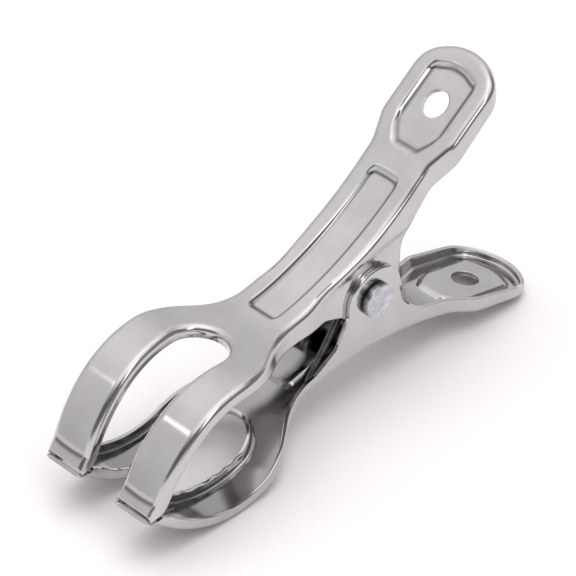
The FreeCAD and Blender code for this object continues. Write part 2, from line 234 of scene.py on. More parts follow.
@dataclass(frozen=True)
class Outline:
    """A plane curve walked as straight runs (length, 0) and tangent bends (radius, turn)."""

    start: tuple[float, float]
    heading: float
    moves: Pairs

    def _stages(self) -> np.ndarray:
        """The state of the walk where each move starts.

        Returns:
            Distance, place, heading and curvature, one row for each move and a closing one.
        """
        distance, x, y, heading = 0.0, self.start[0], self.start[1], math.radians(self.heading)
        rows = []
        for size, turn in self.moves:
            bend = math.radians(turn)
            length = size * (abs(bend) if turn else 1.0)
            rows.append((distance, x, y, heading, bend / length))
            chord = length * (math.sin(bend / 2) / (bend / 2) if turn else 1.0)
            x += chord * math.cos(heading + bend / 2)
            y += chord * math.sin(heading + bend / 2)
            heading += bend
            distance += length
        rows.append((distance, x, y, heading, 0.0))
        return np.array(rows)

    @property
    def length(self) -> float:
        """The whole length of the curve."""
        return float(self._stages()[-1, 0])

    def at(self, distance: np.ndarray, inset: float = 0.0) -> tuple[np.ndarray, ...]:
        """Read the curve at distances along it, moved to its right by inset.

        From a move's start, a distance d at curvature k ends at the chord d sin(kd/2)/(kd/2),
        which leaves at the start's heading plus kd/2. The inset adds that much of the right hand.

        Args:
            distance: distances along the curve itself.
            inset: how far to its right the points lie.

        Returns:
            Two coordinates and the heading, as arrays like distance.
        """
        stages = self._stages()
        index = np.clip(np.searchsorted(stages[:, 0], distance, side="right") - 1, 0,
                        len(stages) - 2)
        start, x, y, heading, curve = np.moveaxis(stages[index], -1, 0)
        step = distance - start
        half = curve * step / 2
        chord = step * np.sinc(half / np.pi)
        end = heading + 2 * half
        return (x + chord * np.cos(heading + half) + inset * np.sin(end),
                y + chord * np.sin(heading + half) - inset * np.cos(end), end)

    def find(self, first: np.ndarray | float, inset: float = 0.0) -> np.ndarray:
        """Distances at which the first coordinate, which only grows, passes the given values."""
        distance = np.linspace(0.0, self.length, WALK_POINTS)
        return np.interp(first, self.at(distance, inset)[0], distance)


@dataclass(frozen=True)
class SunkPanel:
    """A panel pressed down in the web: a start, two sides, a taper and a crowned end."""

    start: float
    end: float
    half: float
    corner: float
    depth: float
    riser: float
    end_riser: float
    neck_half: float
    knee: float
    crown: float

    def reach(self, x: np.ndarray, y: np.ndarray) -> np.ndarray:
        """How far in from the outline a place is, in widths of the riser.

        The signed distance to the outline is the length of the planes' overshoots past their
        corner-inset places, less the corner radius. It is divided by the riser's width, which
        grows towards the two ends.

        Args:
            x: places along the clip.
            y: places across it.

        Returns:
            Shares under 0 outside the panel, 0 to 1 on the riser and over 1 on the floor.
        """
        taper = math.hypot(self.knee - self.start, self.half - self.neck_half)
        slope_x = (self.half - self.neck_half) / taper
        slope_y = (self.knee - self.start) / taper
        side = np.abs(y)
        crowned = np.hypot(np.maximum(x - self.end + self.crown, 0.0), side) - self.crown
        planes = np.stack([self.start - x, crowned, side - self.half,
                           (side - self.neck_half) * slope_y - (x - self.start) * slope_x])
        over = planes + self.corner
        outside = np.sqrt((np.maximum(over, 0.0) ** 2).sum(axis=0))
        signed = outside + np.minimum(over.max(axis=0), 0.0) - self.corner
        at_end = ease(1.0 - np.minimum(-planes[0], -planes[1]) / (2 * self.end_riser))
        centred = 1.0 - ease((side - self.half + self.end_riser + 1.0) / self.end_riser)
        return -signed / (self.riser + (self.end_riser - self.riser) * at_end * centred)

    def drop(self, x: np.ndarray, y: np.ndarray) -> np.ndarray:
        """How far the sheet is pressed down: the depth times the eased reach."""
        return self.depth * ease(self.reach(x, y))

    def foot(self, x: np.ndarray, y: np.ndarray) -> np.ndarray:
        """A band along the riser's foot, exp(-((reach - 0.85) / 0.27)^2), that gets painted shade."""
        return np.exp(-((self.reach(x, y) - 0.85) / 0.27) ** 2)


def vertex_normals(points: np.ndarray, faces: np.ndarray) -> np.ndarray:
    """Unit normals at vertices: the sum of the area vectors of the quads round each one.

    On the centre line, where y is 0, they are kept in the mirror plane.

    Args:
        points: vertex places, one per row.
        faces: four vertex numbers per row.

    Returns:
        One unit vector per vertex.
    """
    corners = points[faces]
    area = np.cross(corners[:, 2] - corners[:, 0], corners[:, 3] - corners[:, 1])
    total = np.zeros_like(points)
    for column in faces.T:
        np.add.at(total, column, area)
    total[points[:, 1] == 0.0, 1] = 0.0
    return total / np.linalg.norm(total, axis=1, keepdims=True)


def quads(ids: np.ndarray) -> np.ndarray:
    """The quads between neighbouring rows and columns of a grid of vertex numbers."""
    return np.stack([ids[:-1, :-1], ids[1:, :-1], ids[1:, 1:], ids[:-1, 1:]], axis=-1).reshape(-1, 4)


def numbered(grid: np.ndarray, start: int = 0) -> np.ndarray:
    """Vertex numbers for a grid of points, by column and row, from start on."""
    return start + np.arange(grid.size // 3).reshape(grid.shape[:2])


def make_object(name: str, points: np.ndarray, faces: np.ndarray,
                material: bpy.types.Material,
                painted_shade: np.ndarray | None = None) -> bpy.types.Object:
    """Put arrays into a smooth mesh, weld its seams and turn its faces outwards.

    Args:
        name: the piece's name.
        points: vertex places in the row frame, in metres.
        faces: four vertex numbers per row.
        material: the finish of the whole piece.
        painted_shade: how much painted shade each point gets, from 0 to 1.

    Returns:
        The new object, at the origin, in the scene.
    """
    mesh = bpy.data.meshes.new(name)
    mesh.from_pydata(points, [], faces.tolist())
    if painted_shade is not None:
        mesh.attributes.new(PAINTED_SHADE, "FLOAT", "POINT").data.foreach_set("value", painted_shade)
    work = bmesh.new()
    work.from_mesh(mesh)
    bmesh.ops.remove_doubles(work, verts=work.verts, dist=WELD_M)
    bmesh.ops.recalc_face_normals(work, faces=work.faces)
    work.to_mesh(mesh)
    work.free()
    mesh.polygons.foreach_set("use_smooth", np.ones(len(mesh.polygons), dtype=bool))
    mesh.materials.append(material)
    piece = bpy.data.objects.new(name, mesh)
    bpy.context.scene.collection.objects.link(piece)
    return piece


# -- the clip's frame


@dataclass(frozen=True)
class ClipFrame:
    """Where the clip's own frame lies in the row frame: the pivot's place and the tilt."""

    pivot: tuple[float, float, float]
    tilt: float

    @classmethod
    def from_record(cls, frame: dict) -> "ClipFrame":
        """Read the pivot from the hinge and the tilt from the way the closed lips point.


        Returns:
            The clip's place.
        """
        lips = next(m for m in frame["record"]["mounts"] if m["name"] == "jaw_lips")
        tilt = math.atan2(-lips["axis"][2], -lips["axis"][0])
        return cls(tuple(frame["joints"][0]["pos_m"]), tilt)

    def to_row(self, points: np.ndarray) -> np.ndarray:
        """Turn clip-frame points in millimetres into row-frame points in metres.

        Args:
            points: one point per row.

        Returns:
            The points turned about Y by the tilt and moved to the pivot.
        """
        cosine, sine = math.cos(self.tilt), math.sin(self.tilt)
        turn = np.array([[cosine, 0.0, sine], [0.0, 1.0, 0.0], [-sine, 0.0, cosine]])
        return points @ turn * MM + np.array(self.pivot)


# -- pressed arms


@dataclass(frozen=True)
class ArmSizes:
    """What differs between the two arms.

    The drops are (place, drop of the flange's edge below the web) pairs. The first of the
    handle's is the knee just past the ear's arc.
    """

    side: Side
    lip_extra: float
    ear_radius: float
    ear_bore: float
    jaw_drops: Pairs
    handle_drops: Pairs
    pinched: bool
    wrinkle: float


@dataclass(frozen=True)
class PressedArm:
    """One arm: a shaped web with rolled bends, flanges, a slot, two sunk panels and ears."""

    sizes: ArmSizes
    # The sheet, and the web in side view: its moves are the lip, the lip's bend, the prong,
    # the hump, the waist, the root, the handle and the pad.
    sheet: float = 0.9
    bend: float = 1.6
    tip_reach: float = 74.6
    pad_reach: float = 45.8
    mouth_gap: float = 0.1
    run_on: float = 8.0
    lip_rise: float = 42.0
    lip_run: float = 2.9
    web_bends: Pairs = ((1.5, 12.0), (36.2, -25.0), (24.3, -47.4), (8.0, 0.0), (43.3, 23.1),
                        (82.0, 23.3), (390.0, -4.9))
    jaw_flange: float = 2.9
    # The plan.
    tip_half: float = 16.1
    jaw_half: float = 17.1
    jaw_taper: float = 17.0
    jaw_straight: float = 12.0
    neck_length: float = 24.0
    neck_radius: float = 18.5
    channel_half: float = 8.5
    flare_start: float = 19.5
    flare_length: float = 8.4
    flare_radius: float = 6.0
    pad_half: float = 10.9
    pad_corner: float = 6.5
    pad_crown: float = 14.0
    # The slot and the hanging hole.
    slot_tip_half: float = 4.9
    slot_end_radius: float = 6.8
    slot_length: float = 31.6
    hole_at: float = 32.2
    hole_radius: float = 3.05
    # The pinch round the inner ears: where it is full, and how far it eases out.
    pinch_depth: float = 1.0
    pinch_full: tuple[float, float] = (10.9, 8.6)
    pinch_slope: tuple[float, float] = (8.0, 5.0)
    # The cut edges, the lip's crease and the wrinkles in the slot's flange.
    burr: float = 0.035
    hole_burr: float = 0.021
    crease_at: float = 2.3
    crease_bow: float = 0.45
    crease_depth: float = 0.11
    crease_width: float = 0.42
    wrinkle_turn: float = 1.7
    wrinkle_drift: float = 0.43
    wrinkle_sway: float = 0.8
    wrinkle_end: float = 3.0
    wrinkle_slope: float = 4.0
    # Painted shade: its share in the lip's crease and at the panels' riser feet, and on the
    # inside skin its share, where it ends and how far it eases.
    crease_shade_share: float = 0.75
    inside_shade_share: float = 0.4
    inside_end: float = 22.0
    inside_slope: float = 8.0
    # The mesh: spacing of columns, rows of each stretch, and the ear's stretch of columns.
    column_step: float = 0.5
    tip_fine: float = 5.0
    slot_lean: float = 3.2
    hole_columns: float = 28.6
    riser_margins: tuple[float, float] = (1.2, 2.7)
    riser_bands: Pairs = ((0.56, 0.74), (0.42, 0.72))
    band_change: tuple[float, float] = (-2.9, 6.1)
    web_rows: tuple[int, int, int] = (11, 11, 6)
    bend_rows: int = 9
    flange_rows: int = 15
    slot_flange_rows: int = 5
    rim_rows: int = 6
    edge_step: float = 0.1
    edge_margin: float = 4.0
    ear_steps: int = 160
    bore_sides: int = 64
    ear_stretch: tuple[float, float] = (-20.5, 18.0)
    slide_fade: float = 14.0
    channel: SunkPanel = SunkPanel(
        start=-25.2, end=16.5, half=5.2, corner=2.6, depth=0.85, riser=1.35, end_riser=1.9,
        neck_half=5.2, knee=-24.0, crown=40.0)
    pad: SunkPanel = SunkPanel(
        start=20.9, end=41.4, half=7.0, corner=1.6, depth=0.95, riser=1.35, end_riser=2.0,
        neck_half=3.8, knee=26.2, crown=11.5)

    @property
    def tip(self) -> float:
        """The place of the first column, just short of the lip's end."""
        return self.burr - self.tip_reach - self.sizes.lip_extra

    @property
    def slot_end(self) -> float:
        """The place of the centre of the slot's round end."""
        return self.slot_length - self.tip_reach

    def web(self) -> Outline:
        """The outside of the web in side view, run on past both ends.

        Returns:
            An outline whose coordinates are the place along the clip and the height.
        """
        rise = math.radians(self.lip_rise)
        start = (-self.tip_reach - self.run_on * math.cos(rise),
                 self.mouth_gap / 2 + self.sheet / math.cos(rise) - self.run_on * math.sin(rise))
        return Outline(start, self.lip_rise, (
            (self.run_on + self.lip_run, 0.0), *self.web_bends, (self.run_on, 0.0)))

    @staticmethod
    def _sway(length: float, shift: float, radius: float) -> list[tuple[float, float]]:
        """Moves that step an outline sideways over a length.

        Args:
            length: how far along the step takes.
            shift: how far sideways, positive to the left.
            radius: the radius of both bends.

        Returns:
            A bend, a straight run and the bend back.
        """
        step = abs(shift)
        reach = math.hypot(length, 2 * radius - step)
        lean = math.asin(min(1.0, 2 * radius / reach)) - math.atan2(2 * radius - step, length)
        turn = math.copysign(math.degrees(lean), shift)
        straight = math.sqrt(max(0.0, reach ** 2 - 4 * radius ** 2))
        return [(radius, turn), (max(straight, 0.01), 0.0), (radius, -turn)]

    def plan(self) -> Outline:
        """Half the outside of the arm in plan, from beyond the tip to the end of the pad.

        Returns:
            An outline with positive second coordinate that ends on the centre line.
        """
        widening = self.jaw_half - self.tip_half
        taper_radius = (self.jaw_taper ** 2 + widening ** 2) / (2 * widening)
        taper = math.asin(self.jaw_taper / taper_radius)
        channel = (self.tip_reach - self.jaw_taper - self.jaw_straight - self.neck_length
                   + self.flare_start)
        crown = math.asin((self.pad_half - self.pad_corner) / (self.pad_crown - self.pad_corner))
        pad = (self.pad_reach - self.pad_crown - self.flare_start - self.flare_length
               + (self.pad_crown - self.pad_corner) * math.cos(crown))
        start = (-self.tip_reach - self.run_on, self.tip_half - self.run_on * math.tan(taper))
        return Outline(start, math.degrees(taper), (
            (self.run_on / math.cos(taper), 0.0), (taper_radius, -math.degrees(taper)),
            (self.jaw_straight, 0.0),
            *self._sway(self.neck_length, self.channel_half - self.jaw_half, self.neck_radius),
            (channel, 0.0),
            *self._sway(self.flare_length, self.pad_half - self.channel_half, self.flare_radius),
            (pad, 0.0), (self.pad_corner, math.degrees(crown) - 90),
            (self.pad_crown, -math.degrees(crown))))

    def slot(self) -> Outline:
        """Half the slot in plan, from beyond the tip to its round end on the centre line.

        Returns:
            An outline whose right-hand side is the slot.
        """
        spread = math.asin((self.slot_end_radius - self.slot_tip_half)
                           / math.hypot(self.slot_length, self.slot_tip_half))
        touch_x = self.slot_end - self.slot_end_radius * math.sin(spread)
        touch_y = self.slot_end_radius * math.cos(spread)
        start_x = -self.tip_reach - 2 * self.run_on
        start = (start_x, touch_y - (touch_x - start_x) * math.tan(spread))
        return Outline(start, math.degrees(spread), (
            ((touch_x - start_x) / math.cos(spread), 0.0),
            (self.slot_end_radius, -90 - math.degrees(spread))))

    def height(self, x: np.ndarray | float, under: float = 0.0) -> tuple[np.ndarray, ...]:
        """Height and heading, in radians, of the web, or of a line a little under it.

        Args:
            x: places along the clip.
            under: how far under the outside of the web the line lies, square to it.

        Returns:
            Heights and headings.
        """
        web = self.web()
        return web.at(web.find(x, under), under)[1:]

    def _on_ball(self, wall: Outline, distance: np.ndarray, away: float,
                 share: np.ndarray) -> np.ndarray:
        """Points on the ball that rounds a bend as it rolls along a wall and under the web.

        The ball's centre lies its radius inside the wall and its radius under the web, square
        to both. With unit vectors n square to the web and m square to the wall, W = acos(n . m)
        apart, a point is the centre plus the radius times (n sin((1 - u) W) + m sin(u W)) / sin W.

        Args:
            wall: the wall in plan.
            distance: distances along it, by column and row.
            away: 1 where the sheet lies to the wall's right, -1 to its left.
            share: shares u of the bend, by column and row.

        Returns:
            Points by column and row.
        """
        x, y, turn = wall.at(distance, away * self.bend)
        z, slope = self.height(x, self.bend)
        across_x, across_y = -away * np.sin(turn), away * np.cos(turn)
        apart = np.arccos(-np.sin(slope) * across_x)
        top = self.bend * np.sin((1.0 - share) * apart) / np.sin(apart)
        side = self.bend * np.sin(share * apart) / np.sin(apart)
        return np.stack([x - top * np.sin(slope) + side * across_x, y + side * across_y,
                         z + top * np.cos(slope)], axis=-1)

    def rolled(self, wall: Outline, distance: np.ndarray, away: float,
               share: np.ndarray) -> np.ndarray:
        """Points on the bend, from the web at share 0 to the wall at share 1.

        Near the tip each row slides along the wall, so that the first column ends in the tip's
        own plane.

        Args:
            wall: the wall in plan.
            distance: distances along it, one for each column.
            away: 1 where the sheet lies to the wall's right, -1 to its left.
            share: shares of the bend, by column and row.

        Returns:
            Points by column and row.
        """
        share = np.broadcast_to(share, (len(distance), np.shape(share)[-1]))
        first = np.array([[float(wall.find(self.tip))]])
        slide = np.zeros((1, 1))
        for _ in range(2):
            slide = slide + self.tip - self._on_ball(wall, first + slide, away, share[:1])[..., 0]
        fade = ease(1.0 - (distance - first[0, 0]) / self.slide_fade)[:, None]
        return self._on_ball(wall, distance[:, None] + slide * fade, away, share)

    def _steps(self, pairs: list[tuple[float, float, float]]) -> tuple[np.ndarray, np.ndarray]:
        """Go in even steps along the inner and the outer edge at once.

        Args:
            pairs: (inner place, outer place, share of the usual step) triples.

        Returns:
            The inner and the outer places of the columns, without the last pair.
        """
        inner, outer = [], []
        for (a0, x0, fine), (a1, x1, _) in zip(pairs, pairs[1:]):
            count = math.ceil((a1 - a0 + abs(x1 - x0)) / 2 / self.column_step / fine)
            share = np.linspace(0.0, 1.0, count, endpoint=False)
            inner.append(a0 + (a1 - a0) * share)
            outer.append(x0 + (x1 - x0) * share)
        return np.concatenate(inner), np.concatenate(outer)

    def columns(self) -> tuple[np.ndarray, np.ndarray, np.ndarray]:
        """Pair points of the web's inner edge with points of its outer edge.

        The inner edge runs round the slot, along the centre line and round the hanging hole.
        The outer edge is the plan outline. Between the listed pairs both go in even steps,
        closer together at the tip and over the panels' end risers.

        Returns:
            The inner points, the outer distances, and the slot distances of the columns that
            start on the slot, with one more.
        """
        slot, plan = self.slot(), self.plan()
        flat = np.zeros((1, 1))
        end_x = float(self.rolled(slot, np.array([slot.length]), -1.0, flat)[0, 0, 0])
        past_end = end_x + self.slot_lean
        before, after = self.riser_margins
        marks = [(self.channel.start - before, 0.55), (self.channel.start + after, 1.0),
                 (self.channel.end - after, 0.55), (self.pad.start + after + before, 0.8)]
        fine_end = self.tip + self.tip_fine
        cuff, cuff_x = self._steps([
            (float(slot.find(self.tip)), self.tip, 0.4), (float(slot.find(fine_end)), fine_end, 1.0),
            (float(slot.find(self.slot_end)), self.slot_end - 2.0, 1.0), (slot.length, past_end, 1.0)])
        line, line_x = self._steps([
            (end_x, past_end, 1.0), *((x, x, fine) for x, fine in marks),
            (self.hole_at - self.hole_radius, self.hole_columns, 1.0)])
        first, last = float(plan.find(self.hole_columns)), plan.length
        share = np.linspace(0.0, 1.0, math.ceil((last - first) / self.column_step) + 1)
        angle = math.pi * (1.0 - share)
        inner = np.concatenate([
            self.rolled(slot, cuff, -1.0, flat)[:, 0, :2], np.stack([line, 0.0 * line], axis=1),
            np.stack([self.hole_at + self.hole_radius * np.cos(angle),
                      self.hole_radius * np.sin(angle)], axis=1)])
        outer = np.concatenate([plan.find(cuff_x), plan.find(line_x),
                                first + (last - first) * share])
        return inner, outer, np.append(cuff, slot.length)

    def edge_path(self) -> np.ndarray:
        """The lower edge of the outer flange in side view, as a dense line of (x, z).

        Along the jaw and the handle it is the lower of the web moved down square to itself and
        a run of chosen drops. Round the ear it is an arc about the pivot, met by straight runs.
        A moving average over 2 mm rounds its corners.

        Returns:
            Points from the tip to the end of the pad, whose x only grows.
        """
        jaw, ((knee_x, knee_drop), *handle) = self.sizes.jaw_drops, self.sizes.handle_drops
        left = np.arange(-self.tip_reach - self.edge_margin, jaw[-1][0], self.edge_step)
        right = np.arange(handle[0][0], self.pad_reach + self.edge_margin, self.edge_step)
        turn = np.linspace(-math.pi, 0.0, self.ear_steps)
        raw = np.concatenate([
            np.stack([left, self._shallow_edge(left, jaw)], axis=1),
            self.sizes.ear_radius * np.stack([np.cos(turn), np.sin(turn)], axis=1),
            [[knee_x, self.height(knee_x)[0] - knee_drop]],
            np.stack([right, self._shallow_edge(right, handle)], axis=1)])
        far = np.concatenate([[0.0], np.cumsum(np.linalg.norm(np.diff(raw, axis=0), axis=1))])
        even = np.arange(0.0, far[-1], self.edge_step)
        reach = round(1.0 / self.edge_step)
        window = np.ones(2 * reach + 1) / (2 * reach + 1)
        line = np.stack([np.interp(even, far, raw[:, k]) for k in (0, 1)], axis=1)
        padded = np.pad(line, ((reach, reach), (0, 0)), mode="reflect", reflect_type="odd")
        return np.stack([np.convolve(padded[:, k], window, mode="valid") for k in (0, 1)], axis=1)

    def _shallow_edge(self, x: np.ndarray, drops: Pairs) -> np.ndarray:
        """The flange edge's height where it is a function of the place along the clip.

        Args:
            x: places along the clip.
            drops: (place, drop below the outside of the web) pairs, joined by straight runs.

        Returns:
            Heights, never under the plane where the closed jaws meet.
        """
        places, depths = np.array(drops).T
        chosen = np.where((x < places[0]) | (x > places[-1]), np.inf,
                          np.interp(x, places, self.height(places)[0] - depths))
        return np.maximum(np.minimum(self.height(x, self.jaw_flange)[0], chosen),
                          self.mouth_gap / 2 + self.burr)

    def crease(self, x: np.ndarray, y: np.ndarray) -> np.ndarray:
        """The lip's crease, exp(-(u / w)^2) with u from a line bowed towards the tip.

        Args:
            x: places along the clip.
            y: places across it.

        Returns:
            Shares of the crease's depth.
        """
        middle = (self.slot_tip_half + self.tip_half) / 2
        bow = 1.0 - ((np.abs(y) - middle) / (self.tip_half - middle)) ** 2
        from_line = x + self.tip_reach - self.crease_at + self.crease_bow * bow
        return np.exp(-(from_line / self.crease_width) ** 2)

    def web_points(self, x: np.ndarray, y: np.ndarray) -> np.ndarray:
        """Lift plan points to the web and press the panels and the lip's crease in.

        Args:
            x: places along the clip.
            y: places across it.

        Returns:
            Points on the outside of the sheet.
        """
        height, heading = self.height(x)
        drop = (self.channel.drop(x, y) + self.pad.drop(x, y)
                + self.crease_depth * self.crease(x, y))
        return np.stack([x + drop * np.sin(heading), y, height - drop * np.cos(heading)], axis=-1)

    def painted_web_shade(self, x: np.ndarray, y: np.ndarray) -> np.ndarray:
        """Painted shade on the web: in the lip's crease and at the feet of the panels' risers."""
        marks = self.crease(x, y) + self.channel.foot(x, y) + self.pad.foot(x, y)
        return np.clip(self.crease_shade_share * marks, 0.0, 1.0)

    def skirt(self, wall: Outline, distance: np.ndarray, away: float, foot: np.ndarray,
              rows: int) -> tuple[np.ndarray, np.ndarray]:
        """The bend beside a wall and the flange under it, down to a foot.

        Where the foot is too high to leave a flange, the bend stops short and takes all the
        rows.

        Args:
            wall: the wall in plan.
            distance: distances along it, one for each column.
            away: 1 where the sheet lies to the wall's right, -1 to its left.
            foot: the height of each column's foot.
            rows: how many rows the flange takes.

        Returns:
            Points by column and row, and each one's share of the flange's own drop.
        """
        fine = np.linspace(0.0, 1.0, 41)
        ball = self.rolled(wall, distance, away, fine[None])[..., 2]
        end = np.array([np.interp(-low, -line, fine) for low, line in zip(foot, ball)])[:, None]
        drop = np.maximum(ball[:, -1] - foot, 0.0)[:, None]
        quarter = self.bend * math.pi / 2
        length = quarter * end + drop
        short = ease(quarter + 1.2 - length)
        step = np.arange(1, self.bend_rows + rows + 1)[None]
        full = (quarter * end * np.minimum(step / self.bend_rows, 1.0)
                + drop * np.maximum(step - self.bend_rows, 0) / rows)
        even = length * step / (self.bend_rows + rows)
        place = full + (even - full) * short
        points = self.rolled(wall, distance, away, np.minimum(place / quarter, end))
        down = np.maximum(place - quarter * end, 0.0)
        points[..., 2] -= down
        return points, down / np.maximum(drop, 1e-6)

    def outer_skirt(self, distance: np.ndarray) -> np.ndarray:
        """The bend and flange round the outside.

        Over the ears each column leans, so that its foot shares out the longer way round the
        ear: heads and feet keep the same share of their stretch on each side of the pivot.

        Args:
            distance: distances along the plan outline, one for each column.

        Returns:
            Points by column and row, below the web's own last row.
        """
        plan, edge = self.plan(), self.edge_path()
        top_x = plan.at(distance)[0]
        along = np.arange(len(edge)) * 1.0
        stretch = np.array([self.ear_stretch[0], 0.0, self.ear_stretch[1]])
        over_ear = (top_x > stretch[0]) & (top_x < stretch[-1])
        place = np.where(
            over_ear, np.interp(top_x, stretch, np.interp(stretch, edge[:, 0], along)),
            np.interp(top_x, edge[:, 0], along))
        foot_x, foot_z = (np.interp(place, along, edge[:, k]) for k in (0, 1))
        points, share = self.skirt(plan, distance, 1.0, foot_z, self.flange_rows)
        lean = np.where(over_ear, foot_x - top_x, 0.0)[:, None] * share
        leaned = plan.at(distance[:, None] + lean)
        for k in (0, 1):
            points[..., k] = np.where(lean != 0.0, leaned[k], points[..., k])
        return points

    def slot_skirt(self, distance: np.ndarray) -> np.ndarray:
        """The bend and flange inside the slot, with the faint wrinkles that the press leaves.

        The wrinkles are a sine of the distance whose phase drifts with a slower one.

        Args:
            distance: distances along the slot outline, one for each column.

        Returns:
            Points by column and row, below the web's own first row.
        """
        slot = self.slot()
        x, _, heading = slot.at(distance)
        foot = np.maximum(self.height(x, self.jaw_flange)[0], self.mouth_gap / 2 + self.burr)
        points, share = self.skirt(slot, distance, -1.0, foot, self.slot_flange_rows)
        drift = self.wrinkle_sway * np.sin(distance * self.wrinkle_drift)
        fade = ease((self.slot_end + self.wrinkle_end - x) / self.wrinkle_slope)
        away = self.sizes.wrinkle * np.sin(distance * self.wrinkle_turn + drift) * fade
        points[..., 0] -= share * (away * np.sin(heading))[:, None]
        points[..., 1] += share * (away * np.cos(heading))[:, None]
        return points

    def pinch(self, points: np.ndarray) -> np.ndarray:
        """Press the flanges in round the ears, by an eased slope above and beside them.

        Args:
            points: points of the bend and flange.

        Returns:
            The points, moved in across the clip.
        """
        across, down = (
            ease((full + slope - reach) / slope) for full, slope, reach
            in zip(self.pinch_full, self.pinch_slope, (np.abs(points[..., 0]), points[..., 2])))
        moved = points.copy()
        moved[..., 1] -= self.pinch_depth * across * down
        return moved

    def half_sheet(self) -> tuple[np.ndarray, np.ndarray, np.ndarray]:
        """One half of the arm as a closed-off sheet, open only on the centre line.

        The outside is one grid over the web, the outer bend and flange, and one over the slot's
        bend and flange. The inside is the outside moved in by the sheet along its normals, and
        a rounded rim joins the two.

        Returns:
            Points and quads in the clip frame of the upper arm, and the painted shade of each point.
        """
        inner, distance, slot_distance = self.columns()
        base = self.rolled(self.plan(), distance, 1.0, np.zeros((1, 1)))[:, 0, :2]
        share = self._web_shares(inner[:, 0])
        x, y = (inner[:, k:k + 1] + (base[:, k:k + 1] - inner[:, k:k + 1]) * share for k in (0, 1))
        skirt = self.outer_skirt(distance)
        if self.sizes.pinched:
            skirt = self.pinch(skirt)
        main = np.concatenate([self.web_points(x, y), skirt], axis=1)
        cuff = self.slot_skirt(slot_distance)
        points = np.concatenate([main.reshape(-1, 3), cuff.reshape(-1, 3)])
        points[np.abs(points[:, 1]) < NEAR_MIDDLE, 1] = 0.0
        main_ids = numbered(main)
        cuff_ids = np.concatenate([main_ids[:len(cuff), :1], numbered(cuff, main_ids.size)], axis=1)
        faces = np.concatenate([quads(main_ids), quads(cuff_ids)[:, ::-1]])
        normals = vertex_normals(points, faces)
        total = len(points)
        outline = np.concatenate([cuff_ids[::-1, -1], cuff_ids[0, -2::-1], main_ids[0, 1:],
                                  main_ids[1:, -1]])
        hole = main_ids[inner[:, 0] >= self.hole_at - self.hole_radius - 1e-6, 0]
        rim_a, quads_a = self._rim(points, normals, outline, self.burr, 2 * total)
        rim_b, quads_b = self._rim(points, normals, hole, -self.hole_burr, 2 * total + len(rim_a))
        everything = np.concatenate([points, points - self.sheet * normals, rim_a, rim_b])
        everything[np.abs(everything[:, 1]) < NEAR_MIDDLE, 1] = 0.0
        jaw = everything[:, 0] < self.slot_end
        everything[jaw, 2] = np.maximum(everything[jaw, 2], self.mouth_gap / 2)
        painted_shade = np.zeros(len(everything))
        # Painted shade on the outside of the web: the lip's crease and the risers' feet.
        painted_shade[:main_ids.size].reshape(main_ids.shape)[:, :x.shape[1]] = self.painted_web_shade(x, y)
        # Painted shade on the inside skin: full from the jaws along the channel, easing out before the
        # pad.
        painted_shade[total:2 * total] = self.inside_shade_share * ease(
            (self.inside_end - points[:, 0]) / self.inside_slope)
        return (everything, np.concatenate([faces, faces[:, ::-1] + total, quads_a, quads_b]),
                painted_shade)

    def _web_shares(self, x: np.ndarray) -> np.ndarray:
        """How far across the web each row lies, closest together over the panels' risers.

        The risers' band lies further in over the pad than over the channel.

        Args:
            x: the columns' places on the inner edge.

        Returns:
            Shares from 0 to 1, by column and row.
        """
        near, middle, far = self.web_rows
        change = self.pad.start + np.array(self.band_change)
        low, high = (np.interp(x, change, ends)[:, None] for ends in zip(*self.riser_bands))
        first = low * np.linspace(0.0, 1.0, near, endpoint=False)
        second = low + (high - low) * np.linspace(0.0, 1.0, middle, endpoint=False)
        third = high + (1.0 - high) * np.linspace(0.0, 1.0, far)
        return np.concatenate([first, second, third], axis=1)

    def _rim(self, points: np.ndarray, normals: np.ndarray, loop: np.ndarray, burr: float,
             start: int) -> tuple[np.ndarray, np.ndarray]:
        """The cut edge between the two skins.

        Across the thickness share t, the edge stands out by burr (1 - |2t - 1|^4)^(1/2), along
        the cross product of the loop's direction and the normal.

        Args:
            points: the outside of the sheet.
            normals: its normals.
            loop: vertex numbers along the edge.
            burr: how far the middle of the edge stands out, under 0 where the loop turns back.
            start: the number of the rim's first own vertex.

        Returns:
            The rim's own points and its quads.
        """
        edge, normal = points[loop], normals[loop]
        away = np.cross(np.gradient(edge, axis=0), normal)
        away /= np.linalg.norm(away, axis=1, keepdims=True)
        away[edge[:, 1] == 0.0, 1] = 0.0
        share = (1.0 - np.cos(math.pi * np.arange(1, self.rim_rows) / self.rim_rows)) / 2
        out = burr * np.sqrt(1.0 - np.abs(2 * share - 1.0) ** 4)
        rim = (edge[None] + out[:, None, None] * away[None]
               - self.sheet * share[:, None, None] * normal[None])
        ids = np.concatenate([loop[None], numbered(rim, start), loop[None] + len(points)])
        return rim.reshape(-1, 3), quads(ids)

    def build(self, name: str, place: ClipFrame, material: bpy.types.Material) -> bpy.types.Object:
        """Mirror the half sheet, turn it to its side of the clip and bore its ears.

        Args:
            name: the piece's name.
            place: where the clip's frame lies in the row.
            material: the finish.

        Returns:
            The finished arm.
        """
        points, faces, painted_shade = self.half_sheet()
        mirrored = points * np.array([1.0, -1.0, 1.0])
        both = np.concatenate([points, mirrored]) * np.array([1.0, 1.0, self.sizes.side.value])
        every = np.concatenate([faces, faces[:, ::-1] + len(points)])
        piece = make_object(name, place.to_row(both), every, material, np.tile(painted_shade, 2))
        self._bore_ears(piece, place)
        return piece

